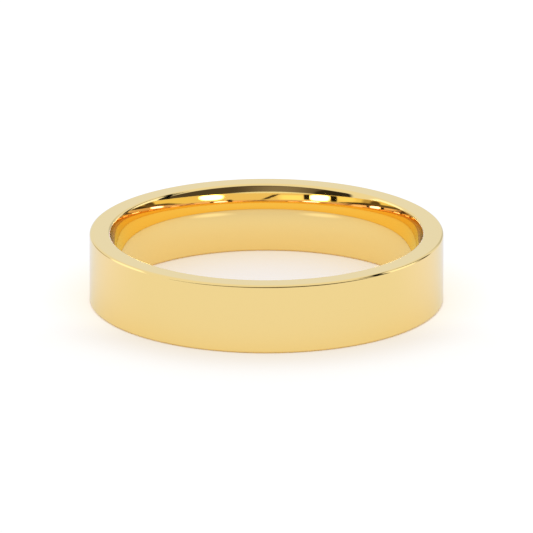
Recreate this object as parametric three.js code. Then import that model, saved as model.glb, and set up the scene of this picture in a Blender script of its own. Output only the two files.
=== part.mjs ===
// A plain wedding band: one solid ring of yellow gold, flat outside and domed inside ("comfort fit").
// Millimetres, +Z up along the finger hole. The origin is the centre of the lower rim, on the surface
// that the ring lies on.
import * as THREE from "three";

// Driving dimensions
const OUTER_DIAMETER = 20.1;
const BORE_DIAMETER = 17.3; // narrowest point of the finger hole, at mid-width
const WIDTH = 4.0; // along the finger
const OUTER_EDGE_ROUND = 0.15; // radius that breaks the two outer edges
const INNER_EDGE_ROUND = 0.17; // radius that turns the bore onto each rim

// The domed wall of the finger hole, in section: a crown at mid-width, a flatter flank on each side of
// it and a shoulder near each rim, all tangent arcs. Angles are the wall's slope where an arc ends.
const FLANK_RADIUS = 12.3;
const SHOULDER_RADIUS = 6.6;
const CROWN_END = degrees(6.1);
const FLANK_END = degrees(9.8);
const SHOULDER_END = degrees(12.7);

// How finely the round stretches are cut
const TURN_STEPS = 96; // a multiple of four, so that corners lie on the X and Y axes
const CROWN_STEPS = 4;
const FLANK_STEPS = 3;
const SHOULDER_STEPS = 2;
const INNER_EDGE_STEPS = 5;
const OUTER_EDGE_STEPS = 3;

const QUARTER_TURN = Math.PI / 2;

const halfWidth = WIDTH / 2;
const outerEdgeCentre = OUTER_DIAMETER / 2 - OUTER_EDGE_ROUND;

// The crown fills the half width that the other arcs leave.
const flankHeight = FLANK_RADIUS * (Math.sin(FLANK_END) - Math.sin(CROWN_END));
const shoulderHeight = SHOULDER_RADIUS * (Math.sin(SHOULDER_END) - Math.sin(FLANK_END));
const innerEdgeHeight = INNER_EDGE_ROUND * (1 - Math.sin(SHOULDER_END));
const crownHeight = halfWidth - flankHeight - shoulderHeight - innerEdgeHeight;

// The bore's arcs from mid-width to the rim
const boreArcs = [
  { radius: crownHeight / Math.sin(CROWN_END), end: CROWN_END, steps: CROWN_STEPS },
  { radius: FLANK_RADIUS, end: FLANK_END, steps: FLANK_STEPS },
  { radius: SHOULDER_RADIUS, end: SHOULDER_END, steps: SHOULDER_STEPS },
  { radius: INNER_EDGE_ROUND, end: QUARTER_TURN, steps: INNER_EDGE_STEPS },
];

function degrees(value) {
  return (value * Math.PI) / 180;
}

// A quarter-round outer edge at that height, swept from startAngle to a right angle further.
function outerEdge(height, startAngle) {
  const points = [];
  for (let step = 0; step <= OUTER_EDGE_STEPS; step++) {
    const angle = startAngle + (step / OUTER_EDGE_STEPS) * QUARTER_TURN;
    points.push(
      new THREE.Vector2(
        outerEdgeCentre + OUTER_EDGE_ROUND * Math.cos(angle),
        height + OUTER_EDGE_ROUND * Math.sin(angle),
      ),
    );
  }
  return points;
}

// Half the bore, as radius and height above mid-width, from mid-width to the rim.
function halfBore() {
  const points = [new THREE.Vector2(BORE_DIAMETER / 2, 0)];
  let start = 0;
  for (const { radius, end, steps } of boreArcs) {
    const { x: startRadius, y: startHeight } = points.at(-1);
    const centreRadius = startRadius + radius * Math.cos(start);
    const centreHeight = startHeight - radius * Math.sin(start);
    for (let step = 1; step <= steps; step++) {
      const slope = start + (step / steps) * (end - start);
      points.push(
        new THREE.Vector2(
          centreRadius - radius * Math.cos(slope),
          centreHeight + radius * Math.sin(slope),
        ),
      );
    }
    start = end;
  }
  return points;
}

// The ring's section, as radius and height, from the lower outer edge up, over the upper rim and down
// the bore. It ends on its first point, so the turned surface is closed.
function bandSection() {
  const lowerEdge = outerEdge(OUTER_EDGE_ROUND, -QUARTER_TURN);
  const upperEdge = outerEdge(WIDTH - OUTER_EDGE_ROUND, 0);
  const half = halfBore();
  const upperBore = half.map(({ x, y }) => new THREE.Vector2(x, halfWidth + y)).reverse();
  const lowerBore = half.slice(1).map(({ x, y }) => new THREE.Vector2(x, halfWidth - y));
  return [...lowerEdge, ...upperEdge, ...upperBore, ...lowerBore, lowerEdge[0].clone()];
}

function makeBand() {
  const geometry = new THREE.LatheGeometry(bandSection(), TURN_STEPS);
  const yellowGold = new THREE.MeshStandardMaterial({
    color: 0xf0d48f,
    roughness: 0.08,
    metalness: 1.0,
  });
  const band = new THREE.Mesh(geometry, yellowGold);
  band.name = "band";
  band.rotation.x = QUARTER_TURN; // the lathe turns about Y, and the ring stands about Z
  return band;
}

const group = new THREE.Group();
group.add(makeBand());

export default group;
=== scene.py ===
"""A plain yellow-gold wedding band on a white table, in a white room with two softboxes and a dark end.

Lengths are in metres in the row frame: +Z up, the table at z = 0 and the camera on the -Y side.
"""

import math

import bmesh
import bpy
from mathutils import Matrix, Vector


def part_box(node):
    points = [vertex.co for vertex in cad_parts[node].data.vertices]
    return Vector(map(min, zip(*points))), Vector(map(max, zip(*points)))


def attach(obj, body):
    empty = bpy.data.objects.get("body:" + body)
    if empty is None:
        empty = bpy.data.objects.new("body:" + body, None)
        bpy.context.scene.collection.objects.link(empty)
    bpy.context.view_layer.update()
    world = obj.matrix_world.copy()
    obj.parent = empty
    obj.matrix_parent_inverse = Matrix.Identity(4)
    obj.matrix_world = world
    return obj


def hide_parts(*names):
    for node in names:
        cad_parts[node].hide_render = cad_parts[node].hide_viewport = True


MM = 0.001

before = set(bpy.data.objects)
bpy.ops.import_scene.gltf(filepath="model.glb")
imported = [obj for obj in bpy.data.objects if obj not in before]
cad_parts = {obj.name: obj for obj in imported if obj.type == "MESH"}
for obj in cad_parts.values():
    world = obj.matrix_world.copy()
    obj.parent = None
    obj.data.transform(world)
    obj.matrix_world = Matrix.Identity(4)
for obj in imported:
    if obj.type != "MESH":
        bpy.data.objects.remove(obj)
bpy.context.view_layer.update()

# ---- The band's sizes: the outside and the bore from the frame, the rounds as in the CAD source ----
low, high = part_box("band")
OUTER_RADIUS = high.x
WIDTH = high.z
BORE_RADIUS = min(math.hypot(v.co.x, v.co.y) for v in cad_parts["band"].data.vertices)
OUTER_EDGE_ROUND = 0.15 * MM
INNER_EDGE_ROUND = 0.17 * MM

# The bore's arcs in section, from mid-width to the rim, and the wall's slope where each one ends
FLANK_RADIUS = 12.3 * MM
SHOULDER_RADIUS = 6.6 * MM
CROWN_END = math.radians(6.1)
FLANK_END = math.radians(9.8)
SHOULDER_END = math.radians(12.7)

# How finely the round stretches are cut
TURN_STEPS = 720
CROWN_STEPS = 12
FLANK_STEPS = 6
SHOULDER_STEPS = 6
INNER_EDGE_STEPS = 16
OUTER_EDGE_STEPS = 10

QUARTER_TURN = math.pi / 2


# ---- The band's mesh ----
def arc(centre, radius, start, end, steps):
    """Points of the section on an arc about centre, each as (radius, height) with its outward normal."""
    points = []
    for step in range(steps + 1):
        angle = start + (end - start) * step / steps
        normal = (math.cos(angle), math.sin(angle))
        points.append(((centre[0] + radius * normal[0], centre[1] + radius * normal[1]), normal))
    return points


def half_bore():
    """The bore from mid-width to the rim: tangent arcs, with heights counted from mid-width."""
    flank_height = FLANK_RADIUS * (math.sin(FLANK_END) - math.sin(CROWN_END))
    shoulder_height = SHOULDER_RADIUS * (math.sin(SHOULDER_END) - math.sin(FLANK_END))
    edge_height = INNER_EDGE_ROUND * (1 - math.sin(SHOULDER_END))
    crown_height = WIDTH / 2 - flank_height - shoulder_height - edge_height
    bends = (
        (crown_height / math.sin(CROWN_END), CROWN_END, CROWN_STEPS),
        (FLANK_RADIUS, FLANK_END, FLANK_STEPS),
        (SHOULDER_RADIUS, SHOULDER_END, SHOULDER_STEPS),
        (INNER_EDGE_ROUND, QUARTER_TURN, INNER_EDGE_STEPS),
    )
    points = [((BORE_RADIUS, 0.0), (-1.0, 0.0))]
    slope = 0.0
    for radius, end, steps in bends:
        (reach, height), (outward, upward) = points[-1]
        centre = (reach - radius * outward, height - radius * upward)
        points += arc(centre, radius, math.pi - slope, math.pi - end, steps)[1:]
        slope = end
    return points


def band_section():
    """The closed section of the ring, from the lower outer edge up, over the rim and down the bore."""
    half = WIDTH / 2
    outer_centre = OUTER_RADIUS - OUTER_EDGE_ROUND
    low_outer = (outer_centre, OUTER_EDGE_ROUND)
    high_outer = (outer_centre, WIDTH - OUTER_EDGE_ROUND)
    bore = half_bore()
    upper = [((reach, half + height), normal) for (reach, height), normal in bore]
    lower = [((reach, half - height), (out, -up)) for (reach, height), (out, up) in bore[1:]]
    return [
        *arc(low_outer, OUTER_EDGE_ROUND, -QUARTER_TURN, 0, OUTER_EDGE_STEPS),
        *arc(high_outer, OUTER_EDGE_ROUND, 0, QUARTER_TURN, OUTER_EDGE_STEPS),
        *reversed(upper),
        *lower,
    ]


def polished_band():
    """The section turned about Z. It has its arcs' true normals, so that reflections are smooth."""
    section = band_section()
    count = len(section)
    mesh = bpy.data.meshes.new("band_polished")
    built = bmesh.new()
    normals = []
    rings = []
    for turn in range(TURN_STEPS):
        angle = 2 * math.pi * turn / TURN_STEPS
        across, along = math.cos(angle), math.sin(angle)
        ring = []
        for (radius, height), (outward, upward) in section:
            ring.append(built.verts.new((radius * across, radius * along, height)))
            normals.append((outward * across, outward * along, upward))
        rings.append(ring)
    for turn in range(TURN_STEPS):
        here, there = rings[turn], rings[(turn + 1) % TURN_STEPS]
        for step in range(count):
            after = (step + 1) % count
            built.faces.new((here[step], there[step], there[after], here[after]))
    built.to_mesh(mesh)
    built.free()
    for polygon in mesh.polygons:
        polygon.use_smooth = True
    mesh.normals_split_custom_set_from_vertices(normals)
    band = bpy.data.objects.new("band_polished", mesh)
    bpy.context.scene.collection.objects.link(band)
    return band


# ---- Node graphs ----
MIX_INPUTS = (0, 6, 7) # the Mix node's factor and its two colours, by number because names repeat
MIX_RESULT = 2 # its mixed colour


class Graph:
    """Adds nodes to one node tree, with numbers or other nodes' outputs as their inputs."""

    def __init__(self, tree):
        self.tree = tree
        tree.nodes.clear()

    def node(self, kind, inputs=(), **settings):
        made = self.tree.nodes.new(kind)
        for name, value in settings.items():
            setattr(made, name, value)
        for socket, value in dict(inputs).items():
            self.feed(made.inputs[socket], value)
        return made

    def feed(self, socket, value):
        if isinstance(value, bpy.types.NodeSocket):
            self.tree.links.new(value, socket)
        else:
            socket.default_value = value

    def maths(self, operation, *values):
        return self.node("ShaderNodeMath", dict(enumerate(values)), operation=operation).outputs[0]

    def vector_maths(self, operation, *values):
        made = self.node("ShaderNodeVectorMath", dict(enumerate(values)), operation=operation)
        return made.outputs["Vector"]

    def length(self, vector):
        return self.node("ShaderNodeVectorMath", {0: vector}, operation="LENGTH").outputs["Value"]

    def smooth(self, value, start, end, low=0.0, high=1.0):
        """low up to start, high from end on, and a smooth step between."""
        inputs = {"Value": value, "From Min": start, "From Max": end, "To Min": low, "To Max": high}
        return self.node("ShaderNodeMapRange", inputs, interpolation_type="SMOOTHSTEP").outputs[0]

    def mix(self, share, first, second):
        """The first colour where share is 0 and the second where it is 1."""
        made = self.node("ShaderNodeMix", dict(zip(MIX_INPUTS, (share, first, second))), data_type="RGBA")
        return made.outputs[MIX_RESULT]

    def reflected(self, path, times):
        """1 for a ray that has met the gold that many times or more, and 0 for any other."""
        return self.maths("GREATER_THAN", path["Glossy Depth"], times - 0.5)


# ---- Yellow gold ----
GOLD = (1.0, 0.7625, 0.325, 1.0)
GOLD_EDGE_TINT = (0.90, 0.97, 1.0, 1.0) # of grazing reflections
POLISH_ROUGHNESS = 0.02
HAIRLINE_ROUGHNESS = 0.02 # the most that hairlines add
HAIRLINE_ONSET = (0.45, 0.75) # the noise values from which they start and reach that
WEAR_ROUGHNESS = 0.015 # the most that wear adds
WEAR_ONSET = (0.35, 0.75)
HAIRLINE_WIDTH = 0.06 * MM
HAIRLINE_TURN = 3.0 # how fast the pattern changes round the ring; low, so that the lines are long
HAIRLINE_DEPTH = 0.0004 * MM
HAIRLINE_STRENGTH = 0.15
WEAR_SIZE = 2.5 * MM


def yellow_gold():
    """Mirror-polished gold, with hairlines round the ring from the buffing wheel and soft spots of wear."""
    material = bpy.data.materials.new("yellow_gold_polished")
    material.use_nodes = True
    graph = Graph(material.node_tree)
    place = graph.node("ShaderNodeTexCoord").outputs["Object"]
    across, along, height = graph.node("ShaderNodeSeparateXYZ", {0: place}).outputs
    turn = graph.maths("ARCTAN2", along, across)
    across_squared = graph.maths("POWER", across, 2.0)
    along_squared = graph.maths("POWER", along, 2.0)
    radius = graph.maths("SQRT", graph.maths("ADD", across_squared, along_squared))

    # Drawn out round the ring, and fine across it both on the walls and on the rims
    drawn_out = graph.node(
        "ShaderNodeCombineXYZ",
        {
            0: graph.maths("MULTIPLY", graph.maths("SINE", turn), HAIRLINE_TURN),
            1: graph.maths("MULTIPLY", graph.maths("COSINE", turn), HAIRLINE_TURN),
            2: graph.maths("MULTIPLY", graph.maths("ADD", height, radius), 1.0 / HAIRLINE_WIDTH),
        },
    ).outputs[0]
    hairlines = graph.node(
        "ShaderNodeTexNoise",
        {"Vector": drawn_out, "Scale": 1.0, "Detail": 4.0, "Roughness": 0.6},
    ).outputs["Fac"]
    handling = graph.node(
        "ShaderNodeTexNoise",
        {"Vector": place, "Scale": 1 / WEAR_SIZE, "Detail": 3.0},
    ).outputs["Fac"]
    wear = graph.smooth(handling, *WEAR_ONSET, 0.0, WEAR_ROUGHNESS)
    lines = graph.smooth(hairlines, *HAIRLINE_ONSET, 0.0, HAIRLINE_ROUGHNESS)
    roughness = graph.maths("ADD", graph.maths("ADD", lines, wear), POLISH_ROUGHNESS)
    bump = graph.node(
        "ShaderNodeBump",
        {"Strength": HAIRLINE_STRENGTH, "Distance": HAIRLINE_DEPTH, "Height": hairlines},
    )
    shader = graph.node(
        "ShaderNodeBsdfPrincipled",
        {
            "Base Color": GOLD,
            "Metallic": 1.0,
            "Roughness": roughness,
            "Specular Tint": GOLD_EDGE_TINT,
            "Normal": bump.outputs["Normal"],
        },
    )
    graph.node("ShaderNodeOutputMaterial", {"Surface": shader.outputs[0]})
    return material


# ---- The table ----
TABLE_RADIUS = 0.6
TABLE_STEPS = 128
TABLE_DROP = 0.005 * MM # a hair under the rim, so the two faces don't lie in one plane

# What the gold sees of the table. One colour turns into the next between two places along Y.
# Apart from the first, these colours are painted light, painted shade and painted reflection tints.
TABLE = (0.90, 0.90, 0.90, 1.0) # in front of the ring, and far back inside it
TABLE_PAINTED_LIGHT_BEHIND = (0.96, 0.945, 1.07, 1.0) # painted cooler, brighter light beside and behind the ring
BEHIND = (-9 * MM, 4 * MM)
TABLE_PAINTED_SHADE_INSIDE = (0.82, 0.815, 0.83, 1.0) # painted shade inside the ring, towards its front
INSIDE_SHADE_FADE = (-3 * MM, 6 * MM)
TABLE_PAINTED_GLOW = (1.10, 1.13, 1.16, 1.0) # the middle of the two painted spots of light from the bore
GLOW_CENTRE = (4.8 * MM, -0.6 * MM) # of the right-hand spot; the left-hand one is its mirror
GLOW_RADIUS = 2.9 * MM
GLOW_CORE = 0.2 * GLOW_RADIUS # within this the spot is at its brightest
TABLE_PAINTED_TINT_TWICE = (0.97, 0.95, 0.66, 1.0) # painted reflection tint after two or three reflections
TABLE_PAINTED_TINT_DEEP = (0.74, 0.68, 1.2, 1.0) # painted reflection tint after four reflections or more

# What the camera sees of the table: whiter than the gold does, with painted shade inside and before the
# ring
TABLE_TO_CAMERA = (1.053, 1.060, 1.080, 1.0)
TABLE_BESIDE = (1.07, 1.09, 1.16, 1.0)
BESIDE = (-8 * MM, -3 * MM)
# Painted shade on the table close to the ring
TABLE_PAINTED_SHADE_BY_RING = (0.954, 0.945, 0.981, 1.0)
SHADE_WIDTH = 4.5 * MM


def painted_light_spots(graph, across, along):
    """1 in the middle of the two painted spots of light on the table inside the ring, and 0 away from them.
    """
    from_spot = graph.node(
        "ShaderNodeCombineXYZ",
        {
            0: graph.maths("SUBTRACT", graph.maths("ABSOLUTE", across), GLOW_CENTRE[0]),
            1: graph.maths("SUBTRACT", along, GLOW_CENTRE[1]),
        },
    ).outputs[0]
    return graph.smooth(graph.length(from_spot), GLOW_CORE, GLOW_RADIUS, 1.0, 0.0)


def table_seen_by_gold(graph, path, across, along, outside):
    """Painted light and shade for reflections: by place, and for deeper reflections by their number."""
    # Painted shade on the table inside the ring, darker towards its front
    inside_ring = graph.mix(graph.smooth(along, *INSIDE_SHADE_FADE), TABLE_PAINTED_SHADE_INSIDE, TABLE)
    # Two painted spots of light on the table inside the ring
    inside_ring = graph.mix(painted_light_spots(graph, across, along), inside_ring, TABLE_PAINTED_GLOW)
    # Painted cooler, brighter light on the table beside and behind the ring
    outside_ring = graph.mix(graph.smooth(along, *BEHIND), TABLE, TABLE_PAINTED_LIGHT_BEHIND)
    colour = graph.mix(outside, inside_ring, outside_ring)
    # Painted reflection tints after two and after four reflections
    colour = graph.mix(graph.reflected(path, 2), colour, TABLE_PAINTED_TINT_TWICE)
    return graph.mix(graph.reflected(path, 4), colour, TABLE_PAINTED_TINT_DEEP)


def table_seen_by_camera(graph, along, distance, outside):
    """The colour in plain view: whitest beside the ring, with painted shade close before it and inside it.
    """
    # Painted shade close before the ring and inside it
    away = graph.smooth(distance, OUTER_RADIUS, OUTER_RADIUS + SHADE_WIDTH)
    colour = graph.mix(away, TABLE_PAINTED_SHADE_BY_RING, TABLE_TO_CAMERA)
    beside = graph.maths("MULTIPLY", outside, graph.smooth(along, *BESIDE))
    return graph.mix(beside, colour, TABLE_BESIDE)


def table_colour(graph):
    path = graph.node("ShaderNodeLightPath").outputs
    place = graph.node("ShaderNodeTexCoord").outputs["Object"]
    across, along, _ = graph.node("ShaderNodeSeparateXYZ", {0: place}).outputs
    distance = graph.length(place)
    outside = graph.maths("GREATER_THAN", distance, OUTER_RADIUS)
    by_gold = table_seen_by_gold(graph, path, across, along, outside)
    by_camera = table_seen_by_camera(graph, along, distance, outside)
    return graph.mix(path["Is Camera Ray"], by_gold, by_camera)


def white_table():
    mesh = bpy.data.meshes.new("table")
    built = bmesh.new()
    bmesh.ops.create_circle(built, cap_ends=True, segments=TABLE_STEPS, radius=TABLE_RADIUS)
    built.to_mesh(mesh)
    built.free()
    table = bpy.data.objects.new("table", mesh)
    table.location.z = -TABLE_DROP
    bpy.context.scene.collection.objects.link(table)
    material = bpy.data.materials.new("white_table")
    material.use_nodes = True
    graph = Graph(material.node_tree)
    shader = graph.node("ShaderNodeBsdfDiffuse", {"Color": table_colour(graph)})
    graph.node("ShaderNodeOutputMaterial", {"Surface": shader.outputs[0]})
    mesh.materials.append(material)
    return table


# ---- The room ----
ROOM_WHITE = 0.87
BACKDROP = 1.05 # the white behind the ring, which only the camera sees
SOFT_LIGHT = ROOM_WHITE / TABLE[0] # even light from all round, which only the table gets

# The room is drawn with cards, in degrees as seen from the ring. Azimuth is from the camera's side towards
# +X. Each card is (azimuth, half width, elevation, half height, lean, squareness, soft edge, radiance).
# Lean moves a card's middle by that many degrees for each degree of elevation. A squareness of 2 is an
# ellipse. Lower numbers come nearer to a diamond and higher ones to a rectangle. A later card hides an
# earlier one.
BACK_WALL = (180.0, 72.0, 35.0, 50.0, 0.0, 3.0, 12.0, (0.86, 0.87, 0.93))

# What the first reflection shows: a tall dark end in front, the softboxes dimmed and their stands
FIRST_CARDS = {
    "back_wall": BACK_WALL,
    "right_back_corner": (157.0, 10.0, 8.0, 22.0, 0.0, 2.0, 6.0, (0.60, 0.60, 0.62)),
    "left_back_foot": (-133.0, 15.0, 5.0, 8.0, 0.0, 2.0, 4.0, (0.48, 0.42, 0.34)),
    "dark_end": (12.0, 66.0, 1.0, 44.0, 0.0, 1.35, 2.0, (0.080, 0.065, 0.052)),
    "dark_end_sheen": (-11.0, 20.0, 3.0, 13.0, 0.0, 3.0, 11.0, (0.235, 0.205, 0.180)),
    "dark_foot_left": (-50.0, 15.0, 2.2, 4.0, 0.0, 2.0, 0.6, (0.03, 0.025, 0.02)),
    "lit_foot": (-4.0, 38.0, 0.0, 2.6, 0.0, 2.0, 0.4, (0.95, 0.95, 0.85)),
    "left_softbox": (-104.0, 17.0, 15.0, 24.0, -0.4, 3.0, 3.0, (1.25, 1.25, 1.25)),
    "right_softbox": (101.0, 15.0, 14.0, 20.0, 0.0, 3.0, 2.0, (1.2, 1.2, 1.2)),
    "right_far_foot": (120.0, 10.0, 4.0, 9.0, 0.0, 2.0, 3.0, (0.33, 0.27, 0.21)),
    "near_stand": (80.0, 6.0, 24.0, 26.0, 0.0, 6.0, 1.0, (0.0, 0.0, 0.0)),
    "arm": (93.0, 6.0, 42.0, 9.0, 1.3, 4.0, 1.5, (0.0, 0.0, 0.0)),
    "beam": (116.0, 20.0, 52.0, 3.5, 0.0, 4.0, 1.5, (0.01, 0.01, 0.01)),
    "far_stand": (125.5, 4.5, 26.0, 22.0, 0.0, 6.0, 1.0, (0.0, 0.0, 0.0)),
}

# What deeper reflections show: the softboxes at full strength, and only the foot of the dark end
DEEP_CARDS = {
    "back_wall": BACK_WALL,
    "front_wall": (0.0, 72.0, 16.0, 14.0, 0.0, 3.0, 5.0, (0.90, 0.91, 0.69)),
    "skirting": (180.0, 130.0, 1.5, 4.0, 0.0, 6.0, 0.8, (0.50, 0.47, 0.44)),
    "right_wall": (143.0, 18.0, 14.0, 6.5, 0.0, 6.0, 2.5, (1.3, 1.3, 1.3)),
    "right_front_wall": (59.0, 15.0, 18.0, 8.0, 0.0, 3.0, 3.0, (1.15, 1.15, 1.0)),
    "bump_shade": (17.0, 15.0, 12.0, 14.0, 0.0, 2.0, 4.0, (0.5, 0.47, 0.40)),
    "bump": (8.0, 11.0, 6.0, 13.0, 0.0, 2.0, 3.0, (0.11, 0.093, 0.08)),
    "dark_foot": (9.0, 66.0, 1.0, 9.0, 0.0, 2.4, 0.8, (0.145, 0.122, 0.104)),
    "dark_foot_right": (42.0, 34.0, 1.0, 8.3, 0.0, 2.5, 0.8, (0.07, 0.058, 0.048)),
    "left_softbox_top": (-111.0, 15.0, 30.0, 13.0, -0.75, 3.0, 3.0, (1.15, 1.15, 1.15)),
    "left_softbox": (-98.0, 18.0, 17.0, 7.0, 0.0, 2.6, 1.2, (10.0, 10.0, 10.0)),
    "right_softbox": (101.5, 14.8, 15.5, 8.0, 0.0, 2.6, 1.2, (10.0, 10.0, 10.0)),
    "near_stand": (79.5, 5.2, 21.5, 14.5, 0.0, 6.0, 1.2, (0.01, 0.01, 0.01)),
    "arm": (91.0, 4.5, 42.0, 8.0, 1.3, 4.0, 1.5, (0.01, 0.01, 0.01)),
    "far_stand": (121.0, 4.5, 17.0, 7.5, 0.0, 6.0, 1.2, (0.02, 0.02, 0.02)),
    "left_stand": (-126.0, 4.0, 6.5, 2.5, 0.0, 4.0, 1.0, (0.05, 0.05, 0.05)),
    "door": (174.0, 4.2, 15.5, 8.5, -1.35, 4.0, 0.8, (0.06, 0.05, 0.04)),
}

# From the third reflection on, the light is cooler and the softboxes are held back
DEEPEST_TINT = (0.85, 0.85, 2.4)
DEEPEST_LIMIT = (3.5, 3.5, 24.0)


def lit_by_cards(graph, azimuth, elevation, cards):
    """The colour of the white room with those cards in it, in the direction of azimuth and elevation."""
    colour = (ROOM_WHITE, ROOM_WHITE, ROOM_WHITE, 1.0)
    for middle, half_width, level, half_height, lean, squareness, soft, radiance in cards.values():
        above = graph.maths("SUBTRACT", elevation, level)
        leaning = graph.maths("MULTIPLY_ADD", above, -lean, graph.maths("SUBTRACT", azimuth, middle))
        aside = graph.maths("ABSOLUTE", graph.maths("WRAP", leaning, -180.0, 180.0))
        width_share = graph.maths("POWER", graph.maths("DIVIDE", aside, half_width), squareness)
        height_share = graph.maths("DIVIDE", graph.maths("ABSOLUTE", above), half_height)
        height_share = graph.maths("POWER", height_share, squareness)
        reach = graph.maths("POWER", graph.maths("ADD", width_share, height_share), 1 / squareness)
        edge = soft / min(half_width, half_height)
        colour = graph.mix(graph.smooth(reach, 1 - edge, 1 + edge, 1.0, 0.0), colour, (*radiance, 1.0))
    return colour


def studio_room():
    world = bpy.data.worlds.new("studio_room")
    bpy.context.scene.world = world
    world.use_nodes = True
    graph = Graph(world.node_tree)
    direction = graph.node("ShaderNodeTexCoord").outputs["Generated"]
    across, along, height = graph.node("ShaderNodeSeparateXYZ", {0: direction}).outputs
    towards_camera = graph.maths("MULTIPLY", along, -1.0)
    azimuth = graph.maths("DEGREES", graph.maths("ARCTAN2", across, towards_camera))
    elevation = graph.maths("DEGREES", graph.maths("ARCSINE", height))
    path = graph.node("ShaderNodeLightPath").outputs
    first = lit_by_cards(graph, azimuth, elevation, FIRST_CARDS)
    deep = lit_by_cards(graph, azimuth, elevation, DEEP_CARDS)
    tinted = graph.vector_maths("MULTIPLY", deep, DEEPEST_TINT)
    deepest = graph.vector_maths("MINIMUM", tinted, DEEPEST_LIMIT)
    after_table = graph.maths("GREATER_THAN", path["Diffuse Depth"], 0.5)
    colour = graph.mix(graph.reflected(path, 2), first, deep)
    colour = graph.mix(graph.reflected(path, 3), colour, deepest)
    colour = graph.mix(after_table, colour, (SOFT_LIGHT, SOFT_LIGHT, SOFT_LIGHT, 1.0))
    colour = graph.mix(path["Is Camera Ray"], colour, (BACKDROP, BACKDROP, BACKDROP, 1.0))
    light = graph.node("ShaderNodeBackground", {"Color": colour, "Strength": 1.0})
    graph.node("ShaderNodeOutputWorld", {"Surface": light.outputs[0]})
    world.cycles.sampling_method = "NONE" # the light on the table is even, so it needs no aiming


# ---- The camera ----
CAMERA_DISTANCE = 1.005
CAMERA_ELEVATION = math.radians(17.85)
AIM_HEIGHT = 1.9145 * MM
CAMERA_REACH = (0.1, 10.0) # nearest and farthest things it draws
SENSOR = 36.0 # in millimetres, as is the focal length
FOCAL_LENGTH = 1195.5 # a long lens, so the ring is drawn nearly without perspective


def camera():
    data = bpy.data.cameras.new("camera")
    data.sensor_width = SENSOR
    data.lens = FOCAL_LENGTH
    data.clip_start, data.clip_end = CAMERA_REACH
    made = bpy.data.objects.new("camera", data)
    back = CAMERA_DISTANCE * math.cos(CAMERA_ELEVATION)
    rise = CAMERA_DISTANCE * math.sin(CAMERA_ELEVATION)
    made.location = Vector((0, -back, AIM_HEIGHT + rise))
    made.rotation_euler = (QUARTER_TURN - CAMERA_ELEVATION, 0, 0)
    bpy.context.scene.collection.objects.link(made)
    bpy.context.scene.camera = made


# ---- The scene ----
band = polished_band()
band.data.materials.append(yellow_gold())
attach(band, "root")
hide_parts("band")

white_table()
studio_room()
camera()

scene = bpy.context.scene
scene.view_settings.view_transform = "Standard"
# Light near the two ends of the bore is reflected many times
scene.cycles.max_bounces = 24
scene.cycles.glossy_bounces = 20
scene.cycles.diffuse_bounces = 6
scene.cycles.blur_glossy = 0.0
